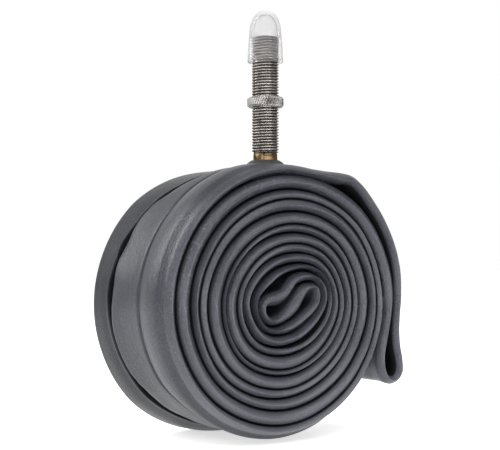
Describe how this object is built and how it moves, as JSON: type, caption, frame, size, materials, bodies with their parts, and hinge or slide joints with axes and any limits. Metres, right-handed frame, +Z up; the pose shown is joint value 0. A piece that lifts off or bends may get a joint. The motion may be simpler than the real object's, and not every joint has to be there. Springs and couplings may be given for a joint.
{
  "type": "inner tube",
  "caption": "Flattened rubber bicycle inner tube, folded and rolled into a drum, with a fully threaded valve, rim nut, spring valve core and clear dust cap.",
  "frame": {"origin": "on the valve's axis, in the plane where the stem leaves the rubber foot and a wheel rim sits", "axes": "+Z up the valve towards its cap; Y along the axis that the tube is rolled about, with the folded edges that show the spiral towards -Y; +X towards the free hairpin end"},
  "size_m": [0.0824, 0.041, 0.124],
  "materials": {
    "tube_rubber": "satin black-grey butyl with a trace of talc",
    "foot_rubber": "matt moulded rubber",
    "plated_brass": "nickel-plated machined thread",
    "nut_plating": "bright nickel plate, knurled",
    "clear_plastic": "clear moulded plastic",
    "bare_brass": "turned brass",
    "seal_rubber": "smooth sealing rubber",
    "spring_steel": "bright spring wire"
  },
  "bodies": {
    "tube": {"inner_tube": "tube_rubber", "valve_base": "foot_rubber", "valve_stem": "plated_brass"},
    "nut": {"rim_nut": "nut_plating"},
    "cap": {"dust_cap": "clear_plastic"},
    "core": {"core_barrel": "bare_brass", "core_gasket": "seal_rubber", "core_spring": "spring_steel"},
    "plug": {"core_swivel": "bare_brass"},
    "pin": {"core_pin": "bare_brass", "core_cup": "bare_brass", "core_cup_gasket": "seal_rubber"}
  },
  "joints": [
    {"name": "nut_travel", "type": "slide", "parent": "tube", "child": "nut", "axis": [0, 0, 1], "range_m": [-0.0155, 0.01]},
    {"name": "cap_lift", "type": "slide", "parent": "tube", "child": "cap", "axis": [0, 0, 1], "range_m": [0, 0.04]},
    {"name": "core_lift", "type": "slide", "parent": "tube", "child": "core", "axis": [0, 0, 1], "range_m": [0, 0.005]},
    {"name": "core_turn", "type": "hinge", "parent": "core", "child": "plug", "pos_m": [0, 0, 0.0335], "axis": [0, 0, 1], "range_deg": [0, 2552]},
    {"name": "pin_press", "type": "slide", "parent": "core", "child": "pin", "axis": [0, 0, -1], "range_m": [0, 0.0012], "stiffness_N_per_m": 900, "springref_m": -0.0015, "deforming": ["core_spring"]}
  ],
  "couplings": [
    {"joint": "core_turn", "follows": "core_lift", "rad_per_m": 8905.3}
  ]
}
